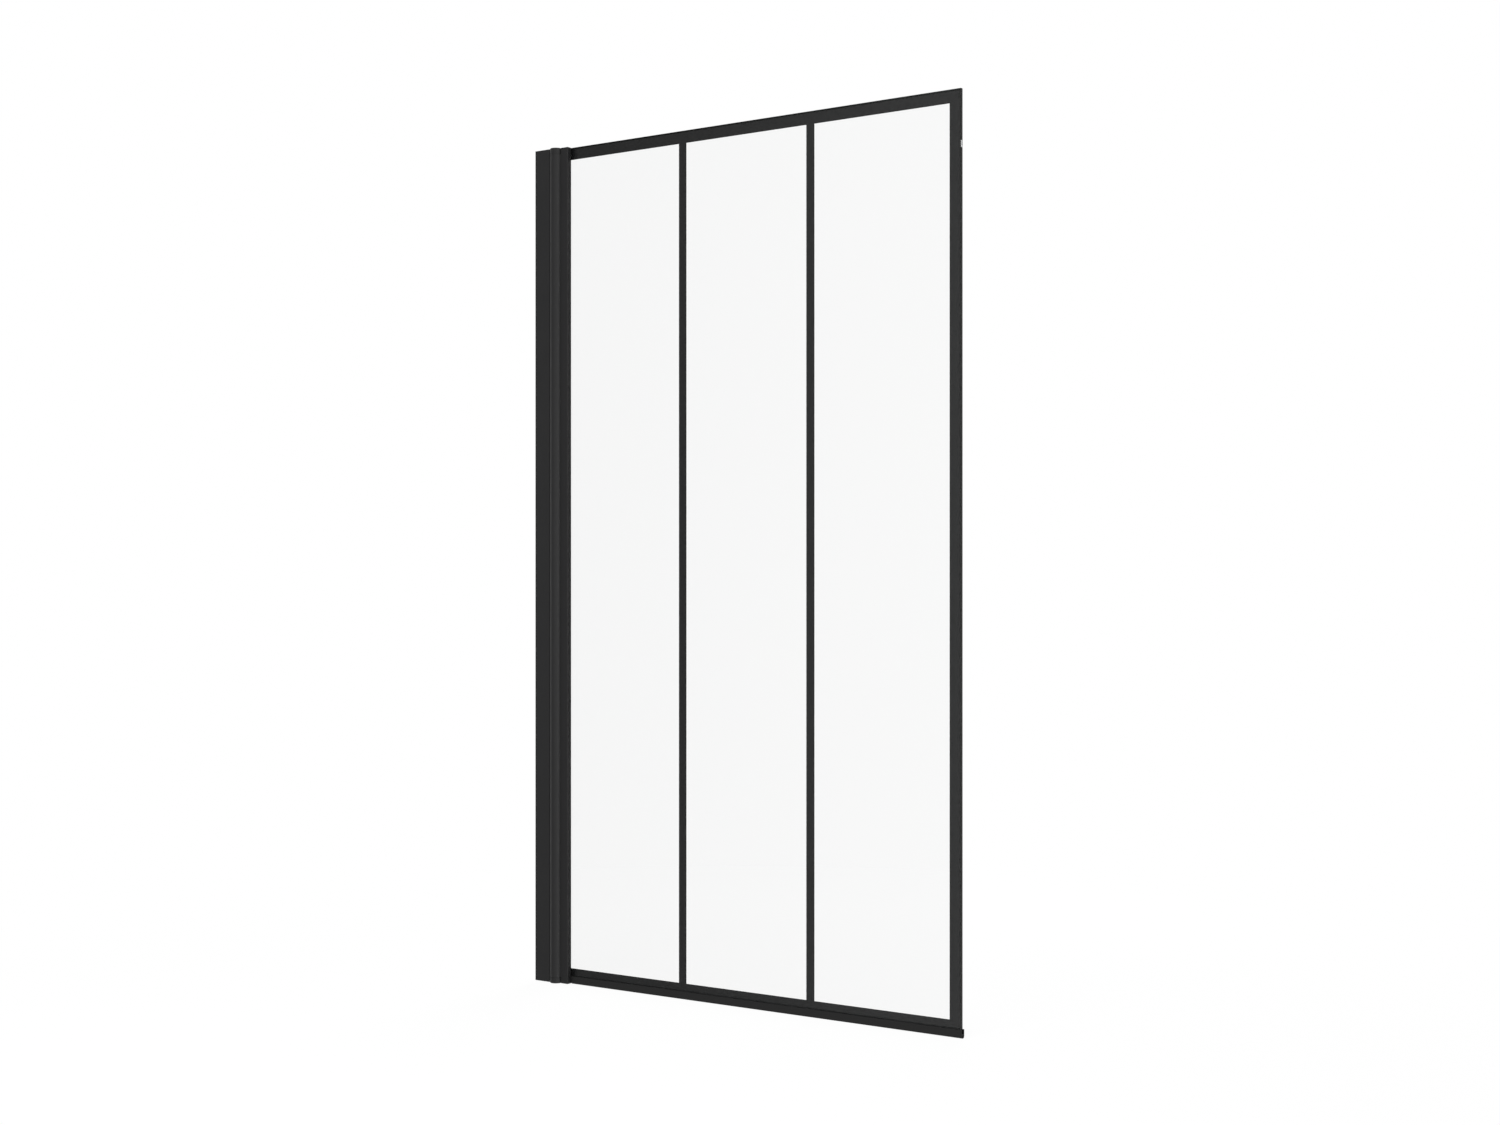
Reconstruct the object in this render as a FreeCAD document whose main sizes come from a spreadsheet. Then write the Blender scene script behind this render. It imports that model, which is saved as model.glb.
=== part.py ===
import FreeCAD, Part
import os
import re
import Sketcher

# Bath screen: a wall channel, a hinge stile that slides in it, and a glass panel that swings
# on a barrel at the front of the stile.
# X runs from the wall along the screen, -Y faces the room and Z is up.
# The origin lies on the wall at the foot of the channel, in the middle plane of the glass.

doc = FreeCAD.newDocument("bath_screen")
sheet = doc.addObject("Spreadsheet::Sheet", "dims")

# Driving dimensions in millimetres
sizes = {
    "screen_reach": 800,
    "screen_height": 1400,
    "overrun": 1,
    # Fits between pieces
    "slide_gap": 0.3,
    "plug_gap": 0.15,
    "thread_gap": 0.05,
    "bush_gap": 0.05,
    # Wall channel
    "channel_reach": 30.5,
    "channel_depth": 30,
    "channel_leg": 1.6,
    "channel_web": 2,
    "channel_round": 0.8,
    "wall_hole_radius": 2.75,
    "wall_hole_setback": 100,
    # Plugs in the ends of the channel
    "channel_cap_thickness": 2,
    "channel_cap_leg_length": 12,
    "channel_cap_leg_thickness": 3,
    # Hinge stile
    "tongue_setback": 5.5,
    "stile_wall": 1.6,
    "stile_screw_leg": 3,
    "stile_nose_wall": 2.4,
    "stile_round": 0.8,
    "mouth_gap": 1,
    "barrel_gap": 0.5,
    "port_radius": 1.5,
    # Locking screws in the slots of the channel
    "slide_travel": 12,
    "lock_setback": 4.5,
    "lock_end_setback": 150,
    "lock_screw_radius": 1.9,
    "lock_screw_tip": 2,
    "lock_head_radius": 3.4,
    "lock_head_height": 2.2,
    "lock_washer_radius": 4.2,
    "lock_washer_thickness": 1,
    "lock_cap_wall": 0.8,
    "lock_cap_bevel": 0.6,
    # Hinge blocks, pins and bushes
    "block_height": 9,
    "block_cap_gap": 0.5,
    "spigot_length": 12,
    "block_bevel": 0.6,
    "pivot_front": 11,
    "pin_radius": 3,
    "pin_cover": 3,
    "pin_engagement": 24,
    "bush_wall": 4.4,
    "bush_length": 26,
    "bush_flange_thickness": 1,
    "bush_flange_inset": 0.8,
    "thrust_gap": 0.1,
    # Hinge block screws
    "block_screw_length": 24,
    "block_screw_head_radius": 2.6,
    "block_screw_head_height": 2.2,
    "sink_wall": 0.9,
    "drive_radius": 1.25,
    "drive_depth": 1.2,
    # Soft strip between stile and clamp
    "seal_space": 1.8,
    "hinge_seal_width": 7,
    "hinge_seal_gap": 0.4,
    "hinge_seal_root_width": 2.4,
    "hinge_seal_root_depth": 1.2,
    # Glass clamp with its barrel
    "barrel_radius": 10.5,
    "lug_gap": 1,
    "neck_thickness": 8.6,
    "jaw_reach": 14.5,
    "jaw_depth": 26,
    "jaw_web": 2.5,
    "jaw_wall": 1.8,
    "jaw_round": 1,
    "rear_jaw_setback": 6,
    "rear_jaw_nose": 1,
    "rear_jaw_taper": 6,
    "clamp_cap_thickness": 2,
    "clamp_cap_leg_length": 10,
    "clamp_cap_bevel": 0.4,
    # Glass, its print and its packing
    "glass_thickness": 6,
    "glass_arris": 0.5,
    "glass_foot": 5.5,
    "gasket_thickness": 2,
    "gasket_setback": 1.5,
    "gasket_recess": 0.8,
    "gasket_round": 0.7,
    "edge_pad_thickness": 1.5,
    "edge_pad_length": 60,
    "edge_pad_setback": 250,
    "support_length": 10,
    "print_thickness": 0.15,
    "print_lift": 0.05,
    "print_margin": 0.5,
    "print_top_band": 19.6,
    "print_free_band": 20.6,
    "print_foot_level": 24.4,
    "print_bar": 14.8,
    "print_pitch": 242.5,
    # Seal under the glass
    "seal_height": 13.2,
    "seal_drop": 1.1,
    "seal_thickness": 8,
    "seal_grip_gap": 0.3,
    "seal_floor_gap": 0.2,
    "seal_bead_wall": 1.3,
    "seal_past_glass": 2,
    "seal_clamp_gap": 0.1,
}

# Sizes and places worked out from the driving dimensions
sums = {
    "channel_half": "channel_depth / 2",
    "throat_half": "channel_half - channel_leg",
    "tongue_half": "throat_half - slide_gap",
    "tongue_start": "channel_web + tongue_setback",
    "tongue_web": "channel_reach - stile_wall",
    "lock_x": "tongue_start + lock_setback",
    "lock_leg_face": "tongue_half - stile_screw_leg",
    "lock_slot_half": "lock_screw_radius + slide_gap",
    "lock_washer_base": "channel_half + thrust_gap",
    "lock_head_base": "lock_washer_base + lock_washer_thickness",
    "lock_head_top": "lock_head_base + lock_head_height",
    "lock_cap_bore": "lock_washer_radius + plug_gap",
    "pivot_x": "channel_reach + mouth_gap + barrel_radius",
    "recess_radius": "barrel_radius + barrel_gap",
    "neck_back": "neck_thickness - jaw_half",
    "stile_front": "neck_back + barrel_gap",
    "stile_end": "jaw_start - seal_space",
    "stile_foot": "block_height",
    "stile_top": "screen_height - block_height",
    "chamber_front": "recess_radius + stile_wall - pivot_front",
    "chamber_back": "tongue_half - stile_wall",
    "chamber_end": "stile_end - stile_nose_wall",
    "boss_radius": "port_radius + stile_wall",
    "port_inset": "block_screw_head_radius + plug_gap + sink_wall",
    "port_y": "tongue_half - port_inset",
    "near_port_x": "block_start + port_inset",
    "far_port_x": "stile_end - port_inset",
    "block_start": "channel_reach + block_cap_gap",
    "bush_radius": "pin_radius + bush_gap + bush_wall",
    "bore_radius": "bush_radius + bush_gap",
    "bush_flange_radius": "barrel_radius - bush_flange_inset",
    "barrel_foot": "block_height + thrust_gap + bush_flange_thickness",
    "barrel_top": "screen_height - barrel_foot",
    "hinge_seal_middle": "(stile_front + tongue_half) / 2",
    "hinge_seal_face": "jaw_start - hinge_seal_gap",
    "jaw_half": "jaw_depth / 2",
    "jaw_start": "pivot_x + barrel_radius + lug_gap",
    "jaw_end": "jaw_start + jaw_reach",
    "jaw_foot": "clamp_cap_thickness",
    "jaw_top": "screen_height - clamp_cap_thickness",
    "glass_half": "glass_thickness / 2",
    "slot_half": "glass_half + gasket_thickness",
    "slot_start": "jaw_start + jaw_web",
    "glass_start": "slot_start + edge_pad_thickness",
    "cavity_front": "slot_half + jaw_wall",
    "cavity_back": "jaw_half - jaw_wall",
    "cavity_end": "jaw_end - jaw_wall",
    "rear_jaw_end": "jaw_end - rear_jaw_setback",
    "rear_nose_back": "slot_half + rear_jaw_nose",
    "taper_start": "rear_jaw_end - rear_jaw_taper",
    "gasket_end": "jaw_end - gasket_recess",
    "rear_gasket_end": "rear_jaw_end - gasket_recess",
    "print_face": "glass_half + print_lift",
    "print_start": "rear_gasket_end + print_margin",
    "print_end": "screen_reach - print_margin",
    "free_pane_end": "screen_reach - print_free_band",
    "pane_top": "screen_height - print_top_band",
    "seal_half": "seal_thickness / 2",
    "seal_grip_half": "glass_half + seal_grip_gap",
    "seal_floor": "glass_foot - seal_floor_gap",
    "seal_top": "seal_height - seal_drop",
    "seal_bead_level": "seal_half - seal_drop",
    "seal_bore_level": "(seal_floor - seal_drop) / 2",
    "seal_bore_radius": "(seal_floor + seal_drop) / 2 - seal_bead_wall",
    "seal_start": "jaw_end + seal_clamp_gap",
    "seal_end": "screen_reach + seal_past_glass",
}

# Heights of repeated pieces, as shares of the way from the lowest to the highest
wall_hole_shares = (0, 1 / 3, 2 / 3, 1)
lock_shares = (0, 1 / 2, 1)
edge_pad_shares = (0, 1 / 2, 1)

for row, (alias, number) in enumerate(sizes.items(), 1):
    sheet.set(f"A{row}", alias)
    sheet.set(f"B{row}", str(number))
    sheet.setAlias(f"B{row}", alias)
doc.recompute()


def bound(text):
    # An expression on the sheet's cells, from one written in the names above
    def swap(match):
        word = match.group()
        return f"({bound(sums[word])})" if word in sums else f"dims.{word}"

    return re.sub(r"[a-z_]+", swap, text)


def value(text):
    return float(sheet.evalExpression(bound(text)))


def hold(sketch, element, spot, x, y):
    # Dimension one point of a sketch from the sketch's origin
    for kind, text in (("DistanceX", x), ("DistanceY", y)):
        rule = Sketcher.Constraint(kind, -1, 1, element, spot, value(text))
        sketch.setExpression(f"Constraints[{sketch.addConstraint(rule)}]", bound(text))


def polygon(*corners):
    def draw(sketch):
        points = [FreeCAD.Vector(value(x), value(y), 0) for x, y in corners]
        first = sketch.GeometryCount
        for start, end in zip(points, points[1:] + points[:1]):
            sketch.addGeometry(Part.LineSegment(start, end), False)
        for step, (x, y) in enumerate(corners):
            following = first + (step + 1) % len(corners)
            sketch.addConstraint(Sketcher.Constraint("Coincident", first + step, 2, following, 1))
            hold(sketch, first + step, 1, x, y)

    return draw


def rectangle(left, right, low, high):
    return polygon((left, low), (right, low), (right, high), (left, high))


def disc(x, y, radius):
    def draw(sketch):
        centre = FreeCAD.Vector(value(x), value(y), 0)
        circle = Part.Circle(centre, FreeCAD.Vector(0, 0, 1), value(radius))
        element = sketch.addGeometry(circle, False)
        hold(sketch, element, 3, x, y)
        rule = Sketcher.Constraint("Radius", element, value(radius))
        sketch.setExpression(f"Constraints[{sketch.addConstraint(rule)}]", bound(radius))

    return draw


def new_body(label):
    return doc.addObject("PartDesign::Body", label)


def extrude(body, kind, name, plane, start, end, *outlines):
    # A Pad or a Pocket of the outlines, from start to end along the plane's world axis
    sketch = body.newObject("Sketcher::SketchObject", f"{body.Label}_{name}_sketch")
    support = [item for item in body.Origin.OriginFeatures if item.Role == f"{plane}_Plane"]
    sketch.AttachmentSupport = (support[0], [""])
    sketch.MapMode = "FlatFace"
    # The XZ plane looks along -Y, so its spans are counted backwards
    level = f"-({end})" if plane == "XZ" else start
    sketch.setExpression("AttachmentOffset.Base.z", bound(level))
    for draw in outlines:
        draw(sketch)
    before = body.Shape.Volume if body.Tip else 0
    feature = body.newObject(f"PartDesign::{kind}", f"{body.Label}_{name}")
    feature.Profile = sketch
    feature.Reversed = kind == "Pocket"
    feature.setExpression("Length", bound(f"({end}) - ({start})"))
    doc.recompute()
    change = body.Shape.Volume - before
    if change == 0 or (change > 0) != (kind == "Pad"):
        raise ValueError(f"{feature.Name} changes the volume by {change}")
    return feature


def pad(body, name, plane, start, end, *outlines):
    return extrude(body, "Pad", name, plane, start, end, *outlines)


def pocket(body, name, plane, start, end, *outlines):
    return extrude(body, "Pocket", name, plane, start, end, *outlines)


def ease(body, kind, name, radius, keep):
    # Fillet or chamfer the edges of the body's last feature that the test keeps
    base = body.Tip
    edges = [f"Edge{count}" for count, edge in enumerate(base.Shape.Edges, 1) if keep(edge)]
    feature = body.newObject(f"PartDesign::{kind}", f"{body.Label}_{name}")
    feature.Base = (base, edges)
    feature.setExpression("Radius" if kind == "Fillet" else "Size", bound(radius))
    doc.recompute()


def upright_at(*corners):
    # A test for the upright edges that stand at these places in plan
    places = [FreeCAD.Vector(value(x), value(y), 0) for x, y in corners]

    def keep(edge):
        ends = [FreeCAD.Vector(item.X, item.Y, 0) for item in edge.Vertexes]
        near = [all(end.isEqual(place, Part.Precision.confusion()) for end in ends) for place in places]
        return len(ends) == 2 and any(near)

    return keep


def level_at(z):
    # A test for the edges that lie at this height
    def keep(edge):
        return max(abs(item.Z - value(z)) for item in edge.Vertexes) < Part.Precision.confusion()

    return keep


def place(item, x, y, z):
    for axis, text in zip("xyz", (x, y, z)):
        item.setExpression(f"Placement.Base.{axis}", bound(text))
    return item


def box(name, left, right, front, back, low, high):
    item = doc.addObject("Part::Box", name)
    spans = {"Length": (left, right), "Width": (front, back), "Height": (low, high)}
    for side, (start, end) in spans.items():
        item.setExpression(side, bound(f"({end}) - ({start})"))
    return place(item, left, front, low)


def rod(name, radius, x, y, low, high):
    item = doc.addObject("Part::Cylinder", name)
    item.setExpression("Radius", bound(radius))
    item.setExpression("Height", bound(f"({high}) - ({low})"))
    return place(item, x, y, low)


def cross_rod(name, radius, x, front, back, z):
    # A cylinder that runs from front to back
    item = doc.addObject("Part::Cylinder", name)
    item.Placement.Rotation = FreeCAD.Rotation(FreeCAD.Vector(1, 0, 0), -90)
    item.setExpression("Radius", bound(radius))
    item.setExpression("Height", bound(f"({back}) - ({front})"))
    return place(item, x, front, z)


def join(name, items):
    item = doc.addObject("Part::MultiFuse", name)
    item.Shapes = items
    return item


def cut(name, base, *tools):
    item = doc.addObject("Part::Cut", name)
    item.Base = base
    item.Tool = tools[0] if len(tools) == 1 else join(f"{name}_tools", list(tools))
    return item


def gather(name, items):
    item = doc.addObject("Part::Compound", name)
    item.Links = items
    return item


def height_at(share, setback):
    return f"{setback} + {share} * (screen_height - 2 * {setback})"


# Wall frame


def make_wall_channel():
    body = new_body("wall_channel")
    section = rectangle("0", "channel_reach", "-channel_half", "channel_half")
    throat = rectangle("channel_web", "channel_reach + overrun", "-throat_half", "throat_half")
    pad(body, "section", "XY", "0", "screen_height", section)
    pocket(body, "throat", "XY", "-overrun", "screen_height + overrun", throat)
    corners = [("channel_reach", "-channel_half"), ("channel_reach", "channel_half")]
    ease(body, "Fillet", "mouth_round", "channel_round", upright_at(*corners))
    hole_heights = [height_at(share, "wall_hole_setback") for share in wall_hole_shares]
    holes = [disc("0", z, "wall_hole_radius") for z in hole_heights]
    pocket(body, "wall_holes", "YZ", "-overrun", "channel_web + overrun", *holes)
    for share in lock_shares:
        z = height_at(share, "lock_end_setback")
        far = "lock_x + slide_travel"
        shapes = {
            "slot": rectangle("lock_x", far, f"{z} - lock_slot_half", f"{z} + lock_slot_half"),
            "near_end": disc("lock_x", z, "lock_slot_half"),
            "far_end": disc(far, z, "lock_slot_half"),
        }
        for name, shape in shapes.items():
            pocket(body, name, "XZ", "throat_half - overrun", "channel_half + overrun", shape)
    return body


def make_channel_cap(label, plate_low, plate_high, leg_low, leg_high):
    half = "throat_half - plug_gap"
    near = "channel_web + plug_gap"
    far = f"{near} + channel_cap_leg_thickness"
    plate = box(f"{label}_plate", near, "channel_reach", f"-({half})", half, plate_low, plate_high)
    leg = box(f"{label}_leg", near, far, f"-({half})", half, leg_low, leg_high)
    return join(label, [plate, leg])


# Hinge stile


def make_stile_profile():
    body = new_body("stile_profile")
    ends = ("XY", "stile_foot", "stile_top")
    past = ("XY", "stile_foot - overrun", "stile_top + overrun")
    section = rectangle("tongue_start", "stile_end", "-tongue_half", "tongue_half")
    tongue = rectangle("tongue_start - overrun", "tongue_web", "stile_wall - tongue_half", "lock_leg_face")
    neck_room = rectangle("pivot_x", "stile_end + overrun", "-tongue_half - overrun", "stile_front")
    chamber = rectangle("channel_reach", "chamber_end", "chamber_front", "chamber_back")
    groove_half = "(hinge_seal_root_width / 2 + plug_gap)"
    groove = rectangle(
        "stile_end - hinge_seal_root_depth - plug_gap",
        "stile_end + overrun",
        f"hinge_seal_middle - {groove_half}",
        f"hinge_seal_middle + {groove_half}",
    )
    pad(body, "section", *ends, section)
    ease(body, "Fillet", "rear_round", "stile_round", upright_at(("stile_end", "tongue_half")))
    pocket(body, "recess", *past, disc("pivot_x", "-pivot_front", "recess_radius"))
    pocket(body, "neck_room", *past, neck_room)
    pocket(body, "tongue_hollow", *past, tongue)
    pocket(body, "chamber", *past, chamber)
    pocket(body, "seal_groove", *past, groove)
    for name, x in (("near", "near_port_x"), ("far", "far_port_x")):
        pad(body, f"{name}_boss", *ends, disc(x, "port_y", "boss_radius"))
        pocket(body, f"{name}_port", *past, disc(x, "port_y", "port_radius"))
    hole_heights = [height_at(share, "lock_end_setback") for share in lock_shares]
    holes = [disc("lock_x", z, "lock_screw_radius + thread_gap") for z in hole_heights]
    pocket(body, "lock_holes", "XZ", "lock_leg_face - overrun", "tongue_half + overrun", *holes)
    return body


def make_hinge_block(label, level):
    # level gives the height of a place from its distance inside the end of the screen
    def span(near, far):
        return ("XY", *sorted((level(near), level(far)), key=value))

    body = new_body(label)
    full = span("0", "block_height")
    shelf = span("channel_cap_thickness + block_cap_gap", "block_height")
    plug = span("block_height", "block_height + spigot_length")
    head = rectangle("block_start", "stile_end", "-pivot_front", "tongue_half")
    tongue = rectangle("tongue_start", "block_start", "-tongue_half", "tongue_half")
    spigot = rectangle(
        "channel_reach + plug_gap",
        "chamber_end - plug_gap",
        "chamber_front + plug_gap",
        "port_y - boss_radius - plug_gap",
    )
    pad(body, "head", *full, head)
    ease(body, "Fillet", "rear_round", "stile_round", upright_at(("stile_end", "tongue_half")))
    pad(body, "lug", *full, disc("pivot_x", "-pivot_front", "barrel_radius"))
    ease(body, "Chamfer", "rim_bevel", "block_bevel", level_at(level("0")))
    pad(body, "tongue", *shelf, tongue)
    pad(body, "spigot", *plug, spigot)
    pin_span = span("pin_cover", "block_height + overrun")
    pocket(body, "pin_hole", *pin_span, disc("pivot_x", "-pivot_front", "pin_radius + thread_gap"))
    ports = ("near_port_x", "far_port_x")
    holes = [disc(x, "port_y", "port_radius + plug_gap") for x in ports]
    sinks = [disc(x, "port_y", "block_screw_head_radius + plug_gap") for x in ports]
    pocket(body, "screw_holes", *span("-overrun", "block_height + overrun"), *holes)
    pocket(body, "screw_sinks", *span("-overrun", "block_screw_head_height + plug_gap"), *sinks)
    return body


def make_pivot_pin(label, level):
    ends = sorted((level("pin_cover"), level("block_height + pin_engagement")), key=value)
    return rod(label, "pin_radius", "pivot_x", "-pivot_front", *ends)


def make_block_screws(levels):
    screws = []
    for end, level in levels.items():
        for name, x in (("near", "near_port_x"), ("far", "far_port_x")):
            stem = f"{end}_{name}_screw"
            seat = "block_screw_head_height + plug_gap"
            head_ends = sorted((level("plug_gap"), level(seat)), key=value)
            shank_ends = sorted((level(seat), level("block_screw_length")), key=value)
            drive_ends = sorted((level("plug_gap"), level("plug_gap + drive_depth")), key=value)
            head = rod(f"{stem}_head", "block_screw_head_radius", x, "port_y", *head_ends)
            shank = rod(f"{stem}_shank", "port_radius - thread_gap", x, "port_y", *shank_ends)
            drive = doc.addObject("Part::Prism", f"{stem}_drive")
            drive.setExpression("Circumradius", bound("drive_radius"))
            drive.setExpression("Height", bound(f"({drive_ends[1]}) - ({drive_ends[0]})"))
            place(drive, x, "port_y", drive_ends[0])
            screws.append(cut(stem, join(f"{stem}_solid", [head, shank]), drive))
    return gather("hinge_block_screws", screws)


def make_locking_set():
    screws, washers, caps = [], [], []
    for count, share in enumerate(lock_shares, 1):
        z = height_at(share, "lock_end_setback")
        tip = "lock_leg_face - lock_screw_tip"
        shank = cross_rod(f"lock_shank_{count}", "lock_screw_radius", "lock_x", tip, "lock_head_base", z)
        head_span = ("lock_x", "lock_head_base", "lock_head_top", z)
        head = cross_rod(f"lock_head_{count}", "lock_head_radius", *head_span)
        drive = doc.addObject("Part::Prism", f"lock_drive_{count}")
        drive.Placement.Rotation = FreeCAD.Rotation(FreeCAD.Vector(1, 0, 0), -90)
        drive.setExpression("Circumradius", bound("drive_radius"))
        drive.setExpression("Height", bound("drive_depth"))
        place(drive, "lock_x", "lock_head_top - drive_depth", z)
        screws.append(cut(f"lock_screw_{count}", join(f"lock_screw_solid_{count}", [shank, head]), drive))
        ring = ("lock_x", "lock_washer_base", "lock_head_base", z)
        plate = cross_rod(f"lock_plate_{count}", "lock_washer_radius", *ring)
        hole = cross_rod(f"lock_hole_{count}", "lock_screw_radius + thread_gap", *ring)
        washers.append(cut(f"lock_washer_{count}", plate, hole))
        inside = "lock_head_top + plug_gap"
        outside = f"{inside} + lock_cap_wall"
        dome_radius = "lock_cap_bore + lock_cap_wall"
        shoulder = f"{outside} - lock_cap_bevel"
        skirt = cross_rod(f"lock_skirt_{count}", dome_radius, "lock_x", "lock_washer_base", shoulder, z)
        crown = doc.addObject("Part::Cone", f"lock_crown_{count}")
        crown.Placement.Rotation = FreeCAD.Rotation(FreeCAD.Vector(1, 0, 0), -90)
        crown.setExpression("Radius1", bound(dome_radius))
        crown.setExpression("Radius2", bound(f"{dome_radius} - lock_cap_bevel"))
        crown.setExpression("Height", bound("lock_cap_bevel"))
        place(crown, "lock_x", shoulder, z)
        dome = join(f"lock_dome_{count}", [skirt, crown])
        room = cross_rod(f"lock_room_{count}", "lock_cap_bore", "lock_x", "lock_washer_base", inside, z)
        caps.append(cut(f"lock_cap_{count}", dome, room))
    return [
        gather("locking_screws", screws),
        gather("locking_washers", washers),
        gather("locking_screw_caps", caps),
    ]


def make_hinge_seal():
    body = new_body("hinge_seal")
    ends = ("XY", "stile_foot", "stile_top")
    half, root_half = "hinge_seal_width / 2", "hinge_seal_root_width / 2"
    face = ("stile_end", "hinge_seal_face", f"hinge_seal_middle - {half}", f"hinge_seal_middle + {half}")
    root = (
        "stile_end - hinge_seal_root_depth",
        "hinge_seal_face",
        f"hinge_seal_middle - {root_half}",
        f"hinge_seal_middle + {root_half}",
    )
    pad(body, "face", *ends, rectangle(*face))
    pad(body, "root", *ends, rectangle(*root))
    return body


# Swinging panel


# The front jaw hides the glass edge, and the rear jaw is shorter and tapers to a thin nose
jaw_plan = (
    ("jaw_start", "-jaw_half"),
    ("jaw_end", "-jaw_half"),
    ("jaw_end", "0"),
    ("rear_jaw_end", "0"),
    ("rear_jaw_end", "rear_nose_back"),
    ("taper_start", "jaw_half"),
    ("jaw_start", "jaw_half"),
)
jaw_corners = (("jaw_end", "-jaw_half"), ("taper_start", "jaw_half"), ("jaw_start", "jaw_half"))


def make_clamp_profile():
    body = new_body("clamp_profile")
    jaw_ends = ("XY", "jaw_foot", "jaw_top")
    barrel_ends = ("XY", "barrel_foot", "barrel_top")
    past = ("XY", "jaw_foot - overrun", "jaw_top + overrun")
    neck = rectangle("pivot_x", "slot_start", "-jaw_half", "neck_back")
    slot = rectangle("slot_start", "jaw_end + overrun", "-slot_half", "slot_half")
    front_cavity = rectangle("slot_start", "cavity_end", "-(cavity_back)", "-(cavity_front)")
    pad(body, "jaw", *jaw_ends, polygon(*jaw_plan))
    ease(body, "Fillet", "jaw_rounds", "jaw_round", upright_at(*jaw_corners))
    pad(body, "neck", *barrel_ends, neck)
    pad(body, "barrel", *barrel_ends, disc("pivot_x", "-pivot_front", "barrel_radius"))
    pocket(body, "bore", *past, disc("pivot_x", "-pivot_front", "bore_radius"))
    pocket(body, "slot", *past, slot)
    pocket(body, "cavity", *past, front_cavity)
    return body


def make_pivot_bush(label, level):
    seat = "block_height + thrust_gap"
    inner = f"{seat} + bush_flange_thickness"
    outer_ends = sorted((level(seat), level(inner)), key=value)
    sleeve_ends = sorted((level(seat), level(f"{seat} + bush_length")), key=value)
    flange = rod(f"{label}_flange", "bush_flange_radius", "pivot_x", "-pivot_front", *outer_ends)
    sleeve = rod(f"{label}_sleeve", "bush_radius", "pivot_x", "-pivot_front", *sleeve_ends)
    bore = rod(f"{label}_bore", "pin_radius + bush_gap", "pivot_x", "-pivot_front", *sleeve_ends)
    return cut(label, join(f"{label}_solid", [flange, sleeve]), bore)


def make_clamp_cap(label, level, notched):
    def span(near, far):
        return ("XY", *sorted((level(near), level(far)), key=value))

    body = new_body(label)
    near, far = "slot_start + plug_gap", "cavity_end - plug_gap"
    inner, outer = "cavity_front + plug_gap", "cavity_back - plug_gap"
    leg = rectangle(near, far, f"-({outer})", f"-({inner})")
    leg_span = span("clamp_cap_thickness / 2", "clamp_cap_thickness + clamp_cap_leg_length")
    pad(body, "plate", *span("0", "clamp_cap_thickness"), polygon(*jaw_plan))
    ease(body, "Fillet", "rounds", "jaw_round", upright_at(*jaw_corners))
    ease(body, "Chamfer", "bevel", "clamp_cap_bevel", level_at(level("0")))
    pad(body, "leg", *leg_span, leg)
    if notched:
        room = "print_face + print_thickness + plug_gap"
        notch = rectangle("slot_start", "jaw_end + overrun", f"-({room})", room)
        pocket(body, "notch", *span("-overrun", "clamp_cap_thickness + overrun"), notch)
    return body


def make_glass_panel():
    body = new_body("glass_panel")
    sheet_outline = rectangle("glass_start", "screen_reach", "-glass_half", "glass_half")
    pad(body, "sheet", "XY", "glass_foot", "screen_height", sheet_outline)
    thin = value("glass_thickness") + Part.Precision.confusion()
    ease(body, "Chamfer", "arris", "glass_arris", lambda edge: edge.Length > thin)
    return body


def make_printed_grid():
    body = new_body("printed_grid")
    span = ("XZ", "print_face", "print_face + print_thickness")
    foot, top = "glass_foot + print_margin", "screen_height - print_margin"
    outline = rectangle("print_start", "print_end", foot, top)
    half = "print_bar / 2"
    far_bar, near_bar = "free_pane_end - print_pitch", "free_pane_end - 2 * print_pitch"
    panes = {
        "near_pane": ("print_start - overrun", f"{near_bar} - {half}"),
        "middle_pane": (f"{near_bar} + {half}", f"{far_bar} - {half}"),
        "free_pane": (f"{far_bar} + {half}", "free_pane_end"),
    }
    pad(body, "ink", *span, outline)
    for name, sides in panes.items():
        pane = rectangle(*sides, "print_foot_level", "pane_top")
        pocket(body, name, "XZ", "print_face - overrun", "print_face + overrun", pane)
    return body


def make_gasket(label, end, inner, outer):
    body = new_body(label)
    sides = sorted((inner, outer), key=value)
    strip = rectangle("glass_start + gasket_setback", end, *sides)
    pad(body, "strip", "XY", "jaw_foot", "jaw_top", strip)
    ease(body, "Fillet", "lip", "gasket_round", upright_at((end, outer)))
    return body


def make_edge_pads():
    pads = []
    for count, share in enumerate(edge_pad_shares, 1):
        z = height_at(share, "edge_pad_setback")
        ends = (f"{z} - edge_pad_length / 2", f"{z} + edge_pad_length / 2")
        sides = ("-glass_half", "glass_half")
        pads.append(box(f"edge_pad_{count}", "slot_start", "glass_start", *sides, *ends))
    return gather("glass_edge_pads", pads)


def make_support_block():
    ends = ("glass_start", "glass_start + support_length")
    return box("glass_support_block", *ends, "-glass_half", "glass_half", "jaw_foot", "glass_foot")


def make_bottom_seal():
    body = new_body("bottom_seal")
    ends = ("YZ", "seal_start", "seal_end")
    past = ("YZ", "seal_start - overrun", "seal_end + overrun")
    grip = rectangle("-seal_grip_half", "seal_grip_half", "seal_floor", "seal_top + overrun")
    pad(body, "clip", *ends, rectangle("-seal_half", "seal_half", "seal_bead_level", "seal_top"))
    pad(body, "bead", *ends, disc("0", "seal_bead_level", "seal_half"))
    pocket(body, "grip", *past, grip)
    pocket(body, "bore", *past, disc("0", "seal_bore_level", "seal_bore_radius"))
    return body


def from_foot(text):
    return f"({text})"


def from_top(text):
    return f"screen_height - ({text})"


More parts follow.
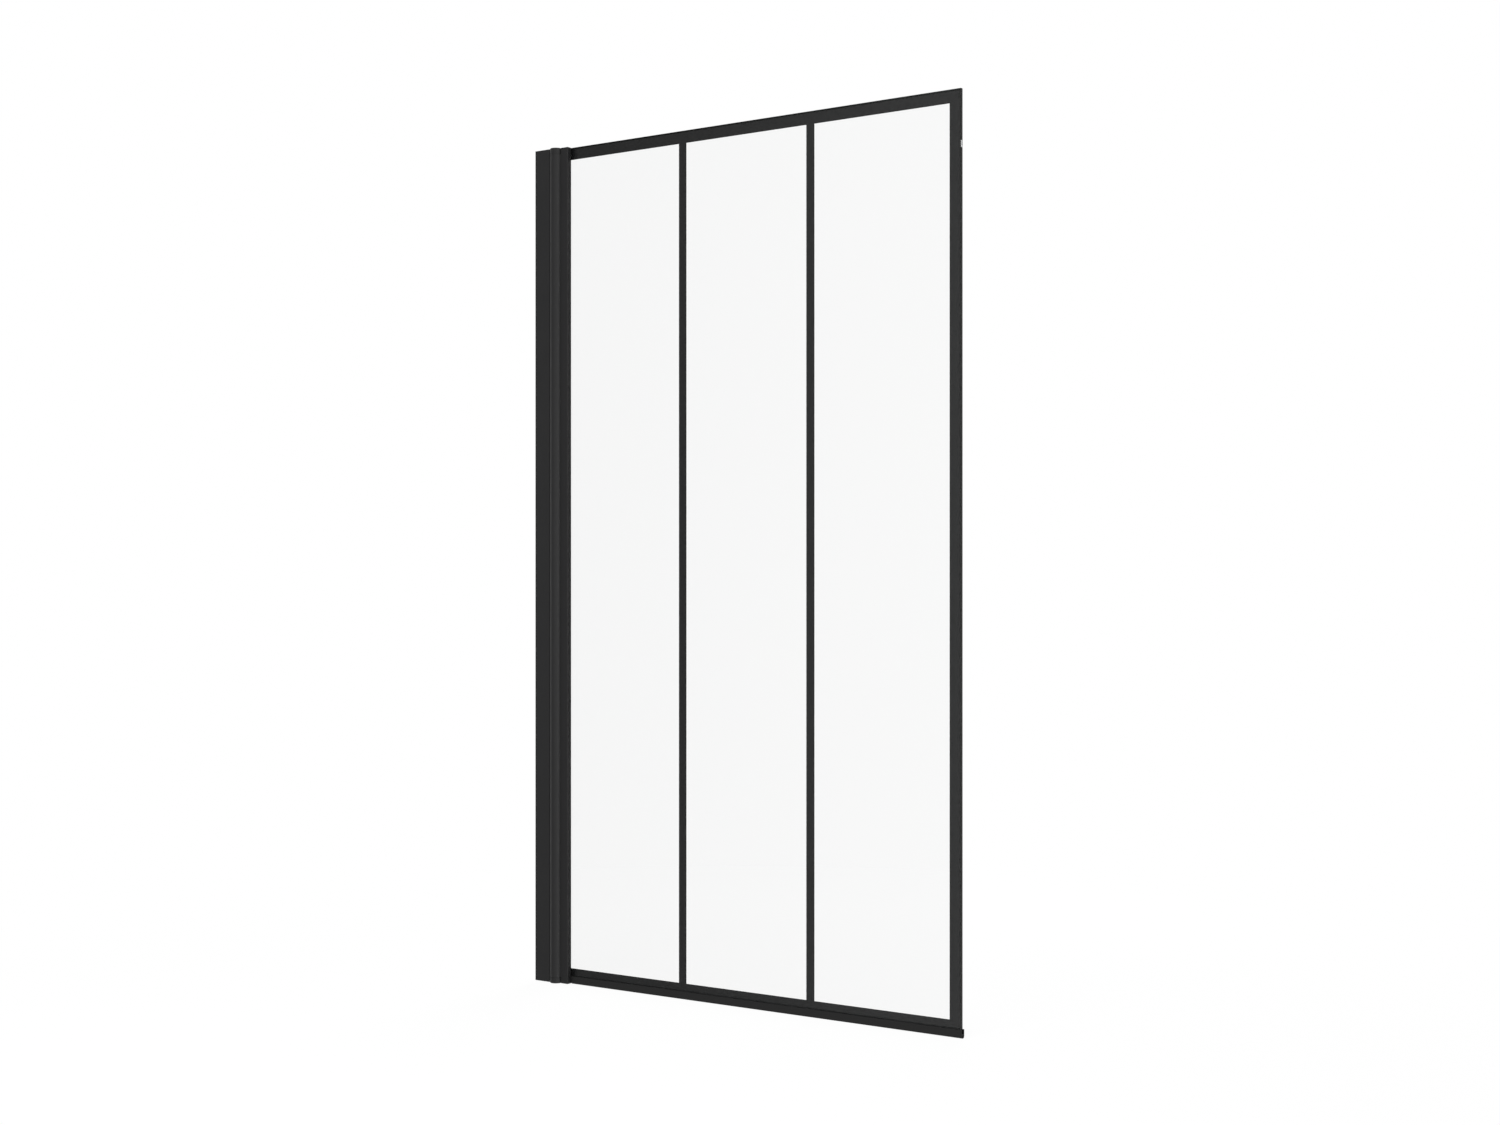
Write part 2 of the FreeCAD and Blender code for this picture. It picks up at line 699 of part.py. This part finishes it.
def make_all():
    plate, leg = "channel_cap_thickness", "channel_cap_leg_length"
    foot_cap = (from_foot("0"), from_foot(plate), from_foot("0"), from_foot(leg))
    top_cap = (from_top(plate), from_top("0"), from_top(leg), from_top("0"))
    wall_frame = [
        make_wall_channel(),
        make_channel_cap("channel_top_cap", *top_cap),
        make_channel_cap("channel_bottom_cap", *foot_cap),
    ]
    hinge_stile = [
        make_stile_profile(),
        make_hinge_block("upper_hinge_block", from_top),
        make_hinge_block("lower_hinge_block", from_foot),
        make_pivot_pin("upper_pivot_pin", from_top),
        make_pivot_pin("lower_pivot_pin", from_foot),
        make_block_screws({"upper": from_top, "lower": from_foot}),
        *make_locking_set(),
        make_hinge_seal(),
    ]
    screen_panel = [
        make_clamp_profile(),
        make_pivot_bush("upper_pivot_bush", from_top),
        make_pivot_bush("lower_pivot_bush", from_foot),
        make_clamp_cap("clamp_top_cap", from_top, True),
        make_clamp_cap("clamp_bottom_cap", from_foot, False),
        make_glass_panel(),
        make_printed_grid(),
        make_gasket("front_gasket", "gasket_end", "-glass_half", "-slot_half"),
        make_gasket("rear_gasket", "rear_gasket_end", "glass_half", "slot_half"),
        make_edge_pads(),
        make_support_block(),
        make_bottom_seal(),
    ]
    return wall_frame + hinge_stile + screen_panel


pieces = make_all()
doc.recompute()
for item in doc.Objects:
    if "Invalid" in item.State or "Error" in item.State:
        raise ValueError(f"{item.Label} failed: {item.State}")
for piece in pieces:
    if piece.Shape.isNull() or not piece.Shape.isValid():
        raise ValueError(f"{piece.Label} has no valid shape")
os.makedirs("parts", exist_ok=True)
for piece in pieces:
    piece.Shape.exportStep(f"parts/{piece.Label}.step")
    print(piece.Label, len(piece.Shape.Solids), round(piece.Shape.Volume))
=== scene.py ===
import math
import bpy
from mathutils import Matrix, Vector


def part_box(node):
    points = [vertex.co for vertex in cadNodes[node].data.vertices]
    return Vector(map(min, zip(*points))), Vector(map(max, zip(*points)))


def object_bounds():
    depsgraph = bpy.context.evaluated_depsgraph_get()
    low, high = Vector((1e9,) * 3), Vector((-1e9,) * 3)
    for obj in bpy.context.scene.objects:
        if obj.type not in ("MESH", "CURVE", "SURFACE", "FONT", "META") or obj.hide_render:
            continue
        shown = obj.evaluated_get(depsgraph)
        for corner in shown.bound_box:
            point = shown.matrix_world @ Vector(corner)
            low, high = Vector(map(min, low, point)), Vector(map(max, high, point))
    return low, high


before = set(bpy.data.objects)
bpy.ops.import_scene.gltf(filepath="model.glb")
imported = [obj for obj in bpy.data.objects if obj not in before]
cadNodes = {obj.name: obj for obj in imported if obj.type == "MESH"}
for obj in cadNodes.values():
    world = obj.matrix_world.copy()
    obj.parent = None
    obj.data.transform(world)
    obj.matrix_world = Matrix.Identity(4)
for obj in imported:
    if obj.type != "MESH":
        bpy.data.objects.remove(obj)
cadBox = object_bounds()
scene = bpy.context.scene
middle = (Vector(cadBox[0]) + Vector(cadBox[1])) / 2
millimetre = 0.001
print("frame loaded with", len(cadNodes), "nodes")


# Node helpers


def feed(tree, socket, value):
    # Links the value where it is another socket, and sets it where it is a number or a colour
    if isinstance(value, bpy.types.NodeSocket):
        tree.links.new(value, socket)
    else:
        socket.default_value = value


def addNode(tree, kind, *values, **named):
    # A name feeds the input that it spells, or sets a property; plain values feed the inputs in order
    node = tree.nodes.new(kind)
    for name, value in named.items():
        label = name.replace("_", " ")
        if label in node.inputs:
            feed(tree, node.inputs[label], value)
        else:
            setattr(node, name, value)
    for socket, value in zip(node.inputs, values):
        feed(tree, socket, value)
    return node


def maths(tree, operation, *values):
    return addNode(tree, "ShaderNodeMath", *values, operation=operation).outputs["Value"]


def mixColours(tree, mask, dark, light):
    mix = addNode(tree, "ShaderNodeMix", data_type="RGBA", Factor=mask, A=(*dark, 1), B=(*light, 1))
    return mix.outputs["Result"]


def spreadMask(tree, mask, low, high):
    return addNode(tree, "ShaderNodeMapRange", Value=mask, To_Min=low, To_Max=high).outputs["Result"]


def objectPlace(tree):
    return addNode(tree, "ShaderNodeTexCoord").outputs["Object"]


def objectAxes(tree):
    return addNode(tree, "ShaderNodeSeparateXYZ", Vector=objectPlace(tree)).outputs


def lightPath(tree):
    return addNode(tree, "ShaderNodeLightPath").outputs


def newMaterial(name):
    material = bpy.data.materials.new(name)
    material.use_nodes = True
    tree = material.node_tree
    tree.nodes.clear()
    shader = tree.nodes.new("ShaderNodeBsdfPrincipled")
    output = addNode(tree, "ShaderNodeOutputMaterial", Surface=shader.outputs["BSDF"])
    return material, tree, shader, output


# Shared surface effects, each giving a normal and a mask


def newEffect(name, setup, *labels):
    # Each input starts at the value of the same name in the setup
    tree = bpy.data.node_groups.new(name, "ShaderNodeTree")
    for label in labels:
        default = setup[label.lower()]
        kind = "NodeSocketVector" if isinstance(default, tuple) else "NodeSocketFloat"
        tree.interface.new_socket(label, in_out="INPUT", socket_type=kind).default_value = default
    tree.interface.new_socket("Normal", in_out="OUTPUT", socket_type="NodeSocketVector")
    tree.interface.new_socket("Mask", in_out="OUTPUT", socket_type="NodeSocketFloat")
    return tree, tree.nodes.new("NodeGroupInput").outputs


def endEffect(tree, height, depth, mask):
    bump = addNode(tree, "ShaderNodeBump", Height=height, Distance=depth)
    addNode(tree, "NodeGroupOutput", Normal=bump.outputs["Normal"], Mask=mask)


def useEffect(tree, effect, look):
    # Each input takes the value of the same name from the look
    node = addNode(tree, "ShaderNodeGroup", node_tree=effect)
    for socket in node.inputs:
        socket.default_value = look[socket.name.lower()]
    return node.outputs


def noise(tree, place, length, detail):
    # Noise with features about as large as this length
    scale = maths(tree, "DIVIDE", 1, length)
    return addNode(tree, "ShaderNodeTexNoise", Vector=place, Scale=scale, Detail=detail).outputs["Fac"]


grainEffect = {
    "grain": 0.6 * millimetre,
    "grainDetail": 3,
    "mottle": 20 * millimetre,
    "mottleDetail": 4,
    "depth": 0.05 * millimetre,
}


def makeGrain(setup):
    # Fine even relief with a slower mottle
    tree, given = newEffect("fineGrain", setup, "Grain", "Mottle", "Depth")
    place = objectPlace(tree)
    relief = noise(tree, place, given["Grain"], setup["grainDetail"])
    mottle = noise(tree, place, given["Mottle"], setup["mottleDetail"])
    endEffect(tree, relief, given["Depth"], mottle)
    return tree


streakEffect = {
    "stretch": (1.0, 1.0, 0.01),
    "width": 1 * millimetre,
    "detail": 2,
    "depth": 0.02 * millimetre,
}


def makeStreaks(setup):
    # Long faint streaks, as drawn metal and extruded plastic carry along their length
    tree, given = newEffect("drawnStreaks", setup, "Stretch", "Width", "Depth")
    drawn = addNode(tree, "ShaderNodeVectorMath", objectPlace(tree), given["Stretch"], operation="MULTIPLY")
    streaks = noise(tree, drawn.outputs["Vector"], given["Width"], setup["detail"])
    endEffect(tree, streaks, given["Depth"], streaks)
    return tree


fineGrain = makeGrain(grainEffect)
drawnStreaks = makeStreaks(streakEffect)
print("surface effects made")


# Materials


def dress(material, names):
    for name in names:
        slots = cadNodes[name].data.materials
        slots.clear()
        slots.append(material)


def coverShader(tree, shader, look, mask, normal):
    # The mask leads from the dark to the light colour, and from the first roughness to the second
    feed(tree, shader.inputs["Base Color"], mixColours(tree, mask, look["dark"], look["light"]))
    feed(tree, shader.inputs["Roughness"], spreadMask(tree, mask, *look["roughness"]))
    feed(tree, shader.inputs["Normal"], normal)
    shader.inputs["Metallic"].default_value = look["metallic"]
    shader.inputs["Specular IOR Level"].default_value = look["specular"]


def makeSurface(look):
    material, tree, shader, _ = newMaterial(look["name"])
    effect = useEffect(tree, look["effect"], look)
    coverShader(tree, shader, look, effect["Mask"], effect["Normal"])
    dress(material, look["nodes"])


powderCoat = {
    "name": "powderCoat",
    "nodes": ["wall_channel", "stile_profile", "clamp_profile"],
    "dark": (0.013, 0.013, 0.0134),
    "light": (0.016, 0.016, 0.0164),
    "roughness": (0.42, 0.54),
    "metallic": 0.0,
    "specular": 0.5,
    "effect": fineGrain,
    "grain": 0.8 * millimetre,
    "mottle": 30 * millimetre,
    "depth": 0.13 * millimetre,
}
castCoat = {
    "name": "castCoat",
    "nodes": ["upper_hinge_block", "lower_hinge_block"],
    "dark": (0.013, 0.013, 0.0134),
    "light": (0.016, 0.016, 0.0164),
    "roughness": (0.45, 0.58),
    "metallic": 0.0,
    "specular": 0.5,
    "effect": fineGrain,
    "grain": 0.9 * millimetre,
    "mottle": 12 * millimetre,
    "depth": 0.15 * millimetre,
}
mouldedCap = {
    "name": "mouldedCap",
    "nodes": [
        "channel_top_cap", "channel_bottom_cap", "clamp_top_cap", "clamp_bottom_cap", "locking_screw_caps",
    ],
    "dark": (0.014, 0.014, 0.015),
    "light": (0.019, 0.019, 0.020),
    "roughness": (0.5, 0.62),
    "metallic": 0.0,
    "specular": 0.45,
    "effect": fineGrain,
    "grain": 0.5 * millimetre,
    "mottle": 8 * millimetre,
    "depth": 0.06 * millimetre,
}
blackBush = {
    "name": "blackBush",
    "nodes": ["upper_pivot_bush", "lower_pivot_bush"],
    "dark": (0.010, 0.010, 0.010),
    "light": (0.014, 0.014, 0.014),
    "roughness": (0.36, 0.48),
    "metallic": 0.0,
    "specular": 0.5,
    "effect": fineGrain,
    "grain": 0.5 * millimetre,
    "mottle": 4 * millimetre,
    "depth": 0.02 * millimetre,
}
packingRubber = {
    "name": "packingRubber",
    "nodes": ["glass_edge_pads", "glass_support_block"],
    "dark": (0.011, 0.011, 0.011),
    "light": (0.016, 0.016, 0.016),
    "roughness": (0.56, 0.68),
    "metallic": 0.0,
    "specular": 0.4,
    "effect": fineGrain,
    "grain": 0.6 * millimetre,
    "mottle": 6 * millimetre,
    "depth": 0.03 * millimetre,
}
plainSteel = {
    "name": "plainSteel",
    "nodes": [
        "upper_pivot_pin", "lower_pivot_pin", "hinge_block_screws", "locking_screws", "locking_washers",
    ],
    "dark": (0.46, 0.46, 0.47),
    "light": (0.58, 0.58, 0.58),
    "roughness": (0.24, 0.38),
    "metallic": 1.0,
    "specular": 0.5,
    "effect": drawnStreaks,
    "stretch": (1.0, 1.0, 0.08),
    "width": 0.4 * millimetre,
    "depth": 0.01 * millimetre,
}
softUpright = {
    "name": "softUpright",
    "nodes": ["hinge_seal", "front_gasket", "rear_gasket"],
    "dark": (0.012, 0.012, 0.012),
    "light": (0.017, 0.017, 0.017),
    "roughness": (0.5, 0.64),
    "metallic": 0.0,
    "specular": 0.5,
    "effect": drawnStreaks,
    "stretch": (1.0, 1.0, 0.01),
    "width": 0.6 * millimetre,
    "depth": 0.02 * millimetre,
}
softLevel = {
    "name": "softLevel",
    "nodes": ["bottom_seal"],
    "dark": (0.010, 0.010, 0.010),
    "light": (0.015, 0.015, 0.015),
    "roughness": (0.42, 0.56),
    "metallic": 0.0,
    "specular": 0.5,
    "effect": drawnStreaks,
    "stretch": (0.01, 1.0, 1.0),
    "width": 0.8 * millimetre,
    "depth": 0.03 * millimetre,
}
coats = (powderCoat, castCoat, mouldedCap, blackBush, packingRubber, plainSteel, softUpright, softLevel)
for coat in coats:
    makeSurface(coat)
print("opaque materials made")

enamelPrint = {
    "name": "enamelPrint",
    "node": "printed_grid",
    "dark": (0.0055, 0.0055, 0.0058),  # seen through the glass
    "light": (0.022, 0.022, 0.0225),  # nothing wets the bare rear face, so it looks duller
    "roughness": (0.38, 0.58),
    "metallic": 0.0,
    "specular": 0.1,
    "grain": 0.3 * millimetre,
    "mottle": 50 * millimetre,
    "mottleShare": 0.15,
    "depth": 0.003 * millimetre,
}


def makePrint(look):
    # Fired enamel, deep black where it lies on the glass and duller on its bare rear face
    material, tree, shader, _ = newMaterial(look["name"])
    grain = useEffect(tree, fineGrain, look)
    low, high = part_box(look["node"])
    rear = maths(tree, "GREATER_THAN", objectAxes(tree)["Y"], (low[1] + high[1]) / 2)
    mottle = spreadMask(tree, grain["Mask"], 0, look["mottleShare"])
    bareness = maths(tree, "MULTIPLY_ADD", rear, 1 - look["mottleShare"], mottle)
    coverShader(tree, shader, look, bareness, grain["Normal"])
    dress(material, [look["node"]])


makePrint(enamelPrint)
print("printed grid made")

clearGlass = {
    "name": "clearGlass",
    "node": "glass_panel",
    "tint": (0.998, 1.0, 0.999),
    "index": 1.52,
    "shadowTint": (0.9, 0.92, 0.91),
    "paintedEdgeShade": (0.03, 0.039, 0.036),  # painted shade: the edge band is coloured dark to stand for light lost along the sheet
    "edgeRoughness": 0.012,
    "edgeBand": 1.5 * millimetre,
}


def makeGlass(look):
    # Clear sheet with polished edges, coloured dark as painted shade; shadow and matt rays pass straight
    # through it
    material, tree, shader, output = newMaterial(look["name"])
    low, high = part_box(look["node"])
    axes = objectAxes(tree)
    upright = maths(tree, "GREATER_THAN", axes["X"], high[0] - look["edgeBand"])
    top = maths(tree, "GREATER_THAN", axes["Z"], high[2] - look["edgeBand"])
    foot = maths(tree, "LESS_THAN", axes["Z"], low[2] + look["edgeBand"])
    edges = maths(tree, "MAXIMUM", upright, maths(tree, "MAXIMUM", top, foot))
    # The edge band's dark colour is painted shade, standing for light lost along the sheet
    feed(tree, shader.inputs["Base Color"], mixColours(tree, edges, look["tint"], look["paintedEdgeShade"]))
    feed(tree, shader.inputs["Roughness"], spreadMask(tree, edges, 0, look["edgeRoughness"]))
    shader.inputs["Transmission Weight"].default_value = 1
    shader.inputs["IOR"].default_value = look["index"]
    path = lightPath(tree)
    passing = maths(tree, "MAXIMUM", path["Is Shadow Ray"], path["Is Diffuse Ray"])
    clear = addNode(tree, "ShaderNodeBsdfTransparent", Color=(*look["shadowTint"], 1))
    either = addNode(tree, "ShaderNodeMixShader", passing, shader.outputs["BSDF"], clear.outputs["BSDF"])
    feed(tree, output.inputs["Surface"], either.outputs["Shader"])
    dress(material, [look["node"]])


makeGlass(clearGlass)
print("glass made")


# Stage, light and camera


def lookedAt(tree):
    # One where the camera looks, also straight through the glass, and zero for reflected light
    path = lightPath(tree)
    bounces = maths(tree, "ADD", path["Glossy Depth"], path["Diffuse Depth"])
    straight = maths(tree, "GREATER_THAN", path["Is Transmission Ray"], bounces)
    return maths(tree, "MAXIMUM", path["Is Camera Ray"], straight)


paleFloor = {
    "name": "floor",
    "half": 14.0,
    "drop": 1 * millimetre,
    "matt": 0.06,  # the share of the floor's white that takes the object's shadow
    "mattReach": (0.7, 1.6),  # that share fades out between these distances
    "litLevel": 0.72,  # how brightly the lamps light the open floor
    "bounce": 0.25,  # how brightly it shines on matt surfaces
}


def floorMaterial(look, centre):
    # White all over, with a matt share near the object, and clear to rays that were reflected first
    material, tree, shader, output = newMaterial(look["name"])
    tree.nodes.remove(shader)
    away = addNode(tree, "ShaderNodeVectorMath", objectPlace(tree), centre, operation="DISTANCE")
    start, end = look["mattReach"]
    share = addNode(
        tree, "ShaderNodeMapRange", interpolation_type="SMOOTHSTEP", Value=away.outputs["Value"],
        From_Min=start, From_Max=end, To_Min=look["matt"], To_Max=0,
    ).outputs["Result"]
    white = spreadMask(tree, share, 1, 1 - look["litLevel"])
    glow = spreadMask(tree, lookedAt(tree), look["bounce"], white)
    light = addNode(tree, "ShaderNodeEmission", Strength=glow)
    matt = addNode(tree, "ShaderNodeBsdfDiffuse", Color=share)
    both = addNode(tree, "ShaderNodeAddShader", light.outputs["Emission"], matt.outputs["BSDF"])
    mirrored = maths(tree, "GREATER_THAN", lightPath(tree)["Glossy Depth"], 0)
    clear = addNode(tree, "ShaderNodeBsdfTransparent")
    either = addNode(tree, "ShaderNodeMixShader", mirrored, both.outputs["Shader"], clear.outputs["BSDF"])
    feed(tree, output.inputs["Surface"], either.outputs["Shader"])
    return material


def makeFloor(look):
    half = look["half"]
    height = cadBox[0][2] - look["drop"]
    corners = [(-half, -half, height), (half, -half, height), (half, half, height), (-half, half, height)]
    mesh = bpy.data.meshes.new(look["name"])
    mesh.from_pydata(corners, [], [(0, 1, 2, 3)])
    mesh.materials.append(floorMaterial(look, (middle.x, middle.y, height)))
    floor = bpy.data.objects.new(look["name"], mesh)
    floor.visible_glossy = False
    scene.collection.objects.link(floor)


studio = {
    "name": "studio",
    "ambient": 0.3,
    "brightSide": (0.99, -0.139, 0.0),  # the surround is brightest to the right of the object
    "awayLevel": 1.1,
    "brightLevel": 1.7,
    "between": [  # share of the way to the bright side, and the level there
        (0.03, 1.0), (0.06, 0.5), (0.106, 0.22), (0.165, 0.13), (0.241, 0.15), (0.269, 0.2), (0.297, 0.27),
        (0.331, 0.36), (0.413, 0.33), (0.587, 0.33), (0.758, 0.42), (0.9, 0.62), (0.978, 1.2),
    ],
}


def grey(level):
    return (level, level, level, 1)


def paintRamp(stops, look):
    away, bright = stops
    away.color = grey(look["awayLevel"])
    bright.color = grey(look["brightLevel"])
    for position, level in look["between"]:
        stops.new(position).color = grey(level)


def makeWorld(look):
    # White where it is looked at, grey where it is reflected, dim where it lights matt surfaces
    world = bpy.data.worlds.new(look["name"])
    world.use_nodes = True
    tree = world.node_tree
    tree.nodes.clear()
    direction = addNode(tree, "ShaderNodeTexCoord").outputs["Generated"]
    towards = addNode(tree, "ShaderNodeVectorMath", direction, look["brightSide"], operation="DOT_PRODUCT")
    share = addNode(tree, "ShaderNodeMapRange", Value=towards.outputs["Value"], From_Min=-1)
    surround = addNode(tree, "ShaderNodeValToRGB", Fac=share.outputs["Result"])
    paintRamp(surround.color_ramp.elements, look)
    matt = lightPath(tree)["Is Diffuse Ray"]
    unseen = spreadMask(tree, matt, surround.outputs["Color"], look["ambient"])
    strength = spreadMask(tree, lookedAt(tree), unseen, 1)
    white = addNode(tree, "ShaderNodeBackground", Color=grey(1), Strength=strength)
    addNode(tree, "ShaderNodeOutputWorld", Surface=white.outputs["Background"])
    scene.world = world


frontBox = {
    "name": "frontBox",
    "place": (0.8, -3.0, 0.9),
    "target": middle,
    "width": 2.0,
    "height": 2.6,
    "power": 110,
    "mirrored": False,
}
backBox = {
    "name": "backBox",
    "place": (-0.4, 2.8, 1.2),
    "target": middle,
    "width": 1.6,
    "height": 2.4,
    "power": 60,
    "mirrored": False,
}
edgeSpark = {
    "name": "edgeSpark",
    "place": (2.1656, 2.6195, 1.968),  # the upright glass edge mirrors it to the camera
    "target": (0.8, 0.0, 1.318),
    "width": 2.8 * millimetre,
    "height": 21 * millimetre,
    "power": 0.0012,
    "mirrored": True,
}


def makeLamp(look):
    # A soft box lights matt surfaces only, and a mirrored one shows in reflections only
    data = bpy.data.lights.new(look["name"], "AREA")
    data.shape = "RECTANGLE"
    data.size = look["width"]
    data.size_y = look["height"]
    data.energy = look["power"]
    lamp = bpy.data.objects.new(look["name"], data)
    lamp.location = look["place"]
    aim = Vector(look["target"]) - Vector(look["place"])
    lamp.rotation_euler = aim.to_track_quat("-Z", "Y").to_euler()
    lamp.visible_camera = False
    lamp.visible_transmission = False
    lamp.visible_glossy = look["mirrored"]
    lamp.visible_diffuse = not look["mirrored"]
    scene.collection.objects.link(lamp)


camera = {
    "name": "camera",
    "place": (2.1656, -2.6215, 0.6679),
    "turnDegrees": 33.58,
    "lens": 47.85,
    "sensor": 36.0,
    "shiftY": 0.0148,
}


def makeCamera(look):
    data = bpy.data.cameras.new(look["name"])
    data.lens = look["lens"]
    data.sensor_fit = "HORIZONTAL"
    data.sensor_width = look["sensor"]
    data.shift_y = look["shiftY"]
    eye = bpy.data.objects.new(look["name"], data)
    eye.location = look["place"]
    eye.rotation_euler = (math.pi / 2, 0, math.radians(look["turnDegrees"]))
    scene.collection.objects.link(eye)
    scene.camera = eye


makeFloor(paleFloor)
makeWorld(studio)
for lamp in (frontBox, backBox, edgeSpark):
    makeLamp(lamp)
makeCamera(camera)
scene.view_settings.view_transform = "Standard"
print("stage, light and camera set")
